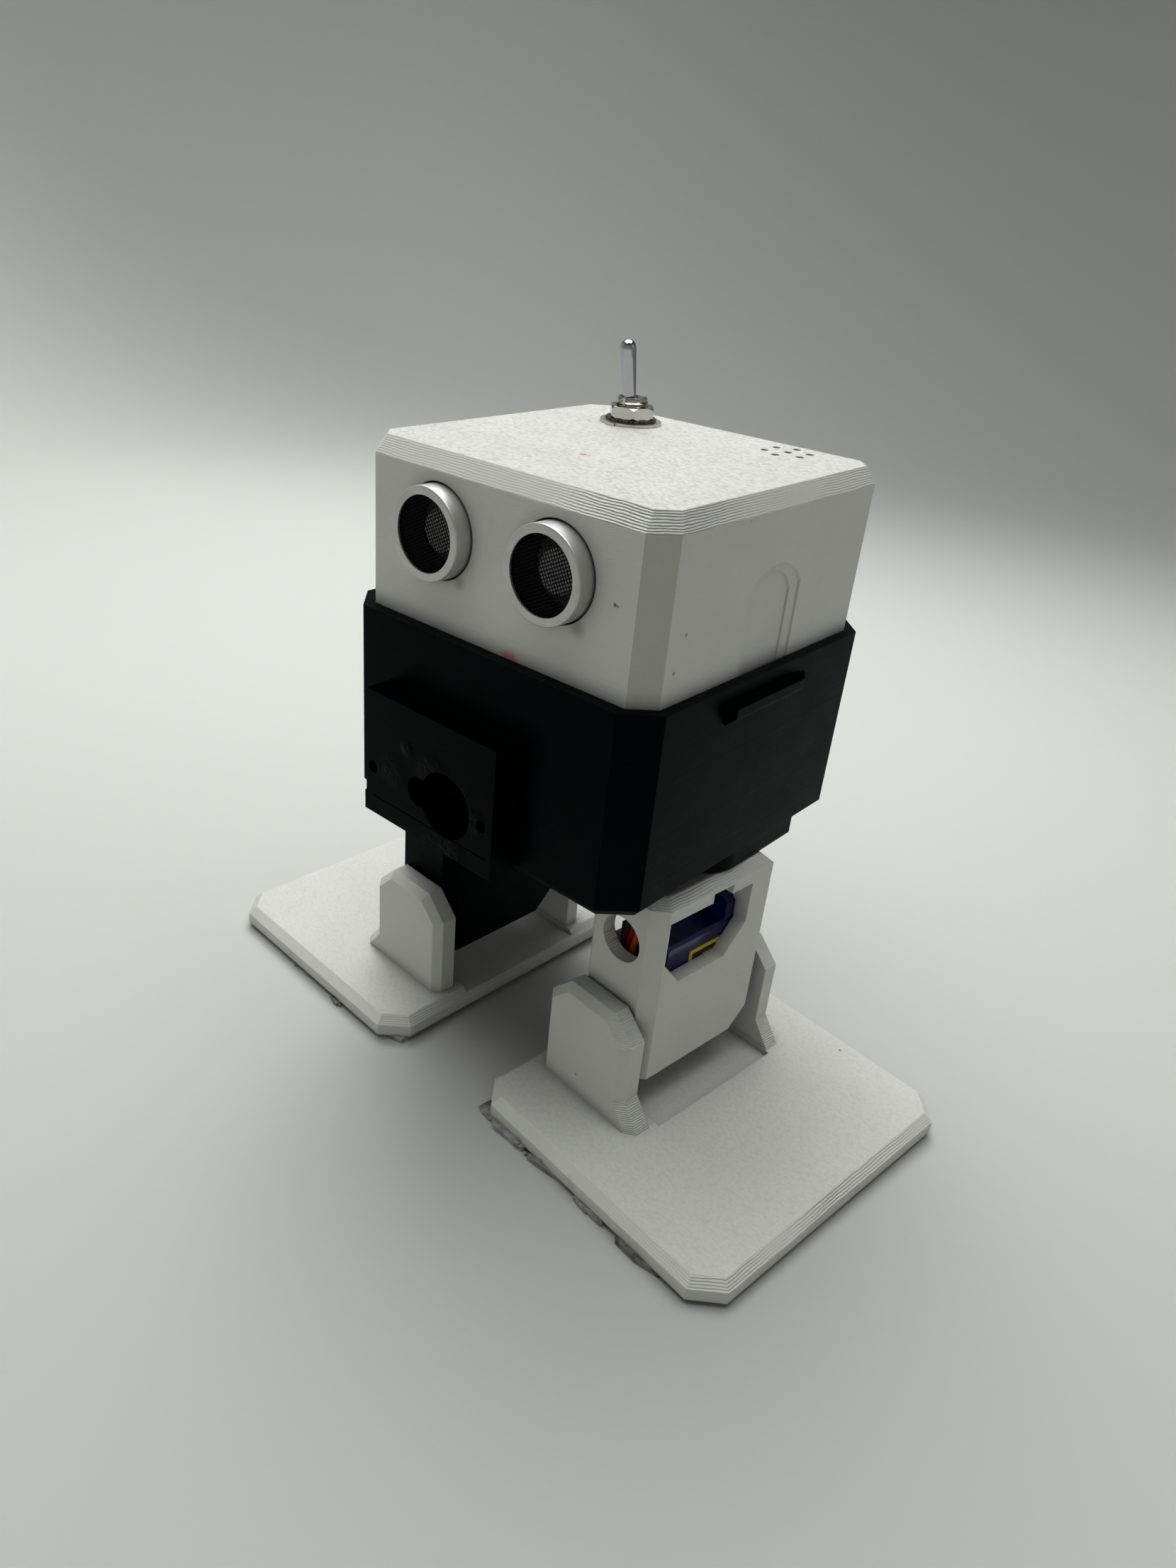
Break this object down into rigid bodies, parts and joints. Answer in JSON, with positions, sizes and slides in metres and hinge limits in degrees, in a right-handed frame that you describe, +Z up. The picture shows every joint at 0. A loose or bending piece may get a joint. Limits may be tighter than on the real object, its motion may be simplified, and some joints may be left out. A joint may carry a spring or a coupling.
{
  "type": "two-legged walking robot",
  "caption": "Small 3-D printed biped robot: black body box, white head with two sensor eyes and a toggle switch, two servo-driven legs on wide flat feet",
  "frame": {"origin": "middle of the footprint, on the floor", "axes": "+Z up, -Y is the robot's front, +X is the robot's left and the longest extent"},
  "size_m": [0.1518, 0.0786, 0.1386],
  "materials": {
    "black_print": "satin printed plastic",
    "white_print": "matte printed plastic with fine layer lines",
    "sensor_can": "drawn aluminium",
    "sensor_mesh": "blackened woven wire",
    "circuit_board": "solder mask",
    "switch_housing": "moulded",
    "switch_metal": "nickel plate",
    "washer_metal": "zinc plate",
    "dark_washer": "dark spring steel",
    "black_plastic": "moulded",
    "cell_wrap": "printed sleeve over a metal can",
    "servo_blue": "translucent moulded plastic",
    "screw_steel": "plated",
    "nylon_white": "moulded nylon",
    "label": "printed film",
    "lead_brown": "PVC insulation",
    "lead_red": "PVC insulation",
    "lead_orange": "PVC insulation",
    "grip_foam": "grippy foam sheet"
  },
  "bodies": {
    "torso": {"body_shell": "black_print", "head_shell": "white_print", "sensor_can_left": "sensor_can", "sensor_can_right": "sensor_can", "sensor_mesh_left": "sensor_mesh", "sensor_mesh_right": "sensor_mesh", "sensor_board": "circuit_board", "toggle_body": "switch_housing", "toggle_bushing": "switch_metal", "toggle_tab_washer": "washer_metal", "toggle_star_washer": "dark_washer", "toggle_nut": "switch_metal", "buzzer": "black_plastic", "expansion_board": "circuit_board", "controller_board": "circuit_board", "battery_holder": "black_plastic", "battery_cells": "cell_wrap", "hip_servo_cap_left": "servo_blue", "hip_servo_case_left": "servo_blue", "hip_servo_gearbox_left": "servo_blue", "hip_servo_cap_right": "servo_blue", "hip_servo_case_right": "servo_blue", "hip_servo_gearbox_right": "servo_blue", "hip_servo_screws": "screw_steel"},
    "toggle_lever": {"toggle_lever": "switch_metal"},
    "left_leg": {"hip_shaft_left": "nylon_white", "hip_horn_left": "nylon_white", "hip_horn_screw_left": "screw_steel", "leg_shell_left": "white_print", "ankle_servo_cap_left": "servo_blue", "ankle_servo_case_left": "servo_blue", "ankle_servo_gearbox_left": "servo_blue", "ankle_servo_screw_left": "screw_steel", "servo_label_left": "label", "lead_brown_left": "lead_brown", "lead_red_left": "lead_red", "lead_orange_left": "lead_orange"},
    "right_leg": {"hip_shaft_right": "nylon_white", "hip_horn_right": "nylon_white", "hip_horn_screw_right": "screw_steel", "leg_shell_right": "black_print", "ankle_servo_cap_right": "servo_blue", "ankle_servo_case_right": "servo_blue", "ankle_servo_gearbox_right": "servo_blue", "ankle_servo_screw_right": "screw_steel", "servo_label_right": "label", "lead_brown_right": "lead_brown", "lead_red_right": "lead_red", "lead_orange_right": "lead_orange"},
    "left_foot": {"foot_left": "white_print", "ankle_shaft_left": "nylon_white", "ankle_horn_left": "nylon_white", "ankle_horn_screw_left": "screw_steel", "grip_pads_left": "grip_foam"},
    "right_foot": {"foot_right": "white_print", "ankle_shaft_right": "nylon_white", "ankle_horn_right": "nylon_white", "ankle_horn_screw_right": "screw_steel", "grip_pads_right": "grip_foam"}
  },
  "joints": [
    {"name": "left_hip_yaw", "type": "hinge", "parent": "torso", "child": "left_leg", "pos_m": [0.02652, 0.00402, 0.055], "axis": [0, 0, 1], "range_deg": [-16, 36]},
    {"name": "right_hip_yaw", "type": "hinge", "parent": "torso", "child": "right_leg", "pos_m": [-0.02747, 0.00402, 0.055], "axis": [0, 0, 1], "range_deg": [-27, 25]},
    {"name": "left_ankle_roll", "type": "hinge", "parent": "left_leg", "child": "left_foot", "pos_m": [0.02682, 0.00399, 0.0225], "axis": [0.1045, 0.9945, 0], "range_deg": [-45, 45]},
    {"name": "right_ankle_roll", "type": "hinge", "parent": "right_leg", "child": "right_foot", "pos_m": [-0.02778, 0.00404, 0.0225], "axis": [0.0523, 0.9986, 0], "range_deg": [-45, 45]},
    {"name": "toggle_lever_tilt", "type": "hinge", "parent": "torso", "child": "toggle_lever", "pos_m": [-0.01517, 0.02362, 0.1227], "axis": [1, 0, 0], "range_deg": [-24, 0]}
  ]
}
